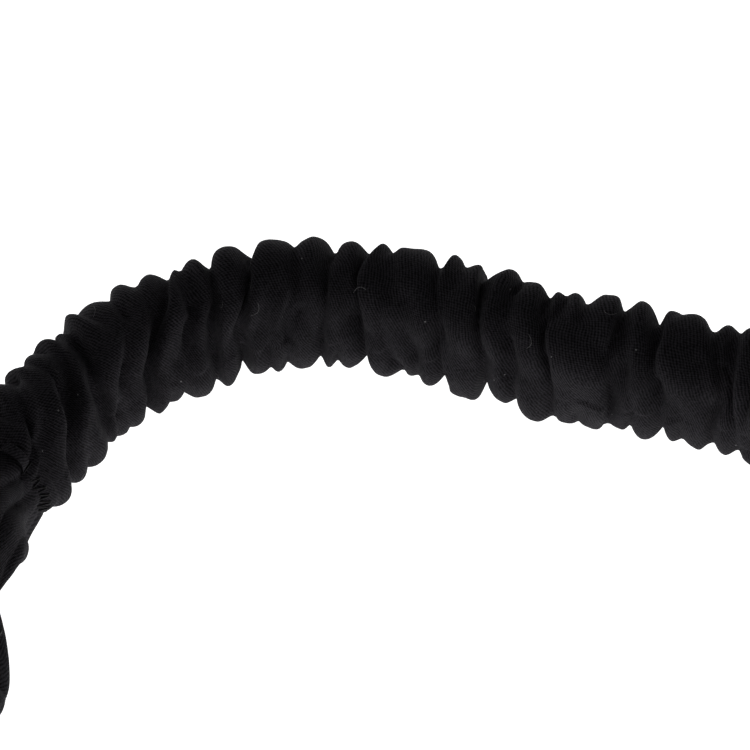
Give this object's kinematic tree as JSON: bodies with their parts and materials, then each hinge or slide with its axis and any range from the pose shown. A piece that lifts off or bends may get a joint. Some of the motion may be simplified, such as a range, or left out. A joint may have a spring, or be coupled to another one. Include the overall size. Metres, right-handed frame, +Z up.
{
  "type": "knotted headband",
  "caption": "Soft ruched fabric headband with flat elastic inside its casing and an interlocked knot at the front, standing on its edge.",
  "frame": {"origin": "below the middle of the whole headband, on the surface it stands on", "axes": "+Z up across the band's width, +Y from the knotted front to the back of the head, +X to the right across the head"},
  "size_m": [0.1605, 0.221, 0.0385],
  "materials": {
    "black_twill": "matte cotton twill, gathered",
    "black_elastic": "woven elastic",
    "black_thread": "slightly glossy sewing thread"
  },
  "bodies": {
    "front": {"knot_loop_left": "black_twill", "knot_loop_right": "black_twill", "knot_tack": "black_thread", "casing_left": "black_twill", "casing_right": "black_twill", "elastic_left": "black_elastic", "elastic_right": "black_elastic", "join_stitches_left": "black_thread", "join_stitches_right": "black_thread", "join_stitches_inner_left": "black_thread", "join_stitches_inner_right": "black_thread"},
    "back": {"casing_back": "black_twill", "elastic_back": "black_elastic"}
  },
  "joints": [
    {"name": "elastic_stretch", "type": "slide", "parent": "front", "child": "back", "axis": [0, 1, 0], "range_m": [0, 0.035], "stiffness_N_per_m": 150, "deforming": ["casing_left", "casing_right", "elastic_left", "elastic_right"]}
  ]
}
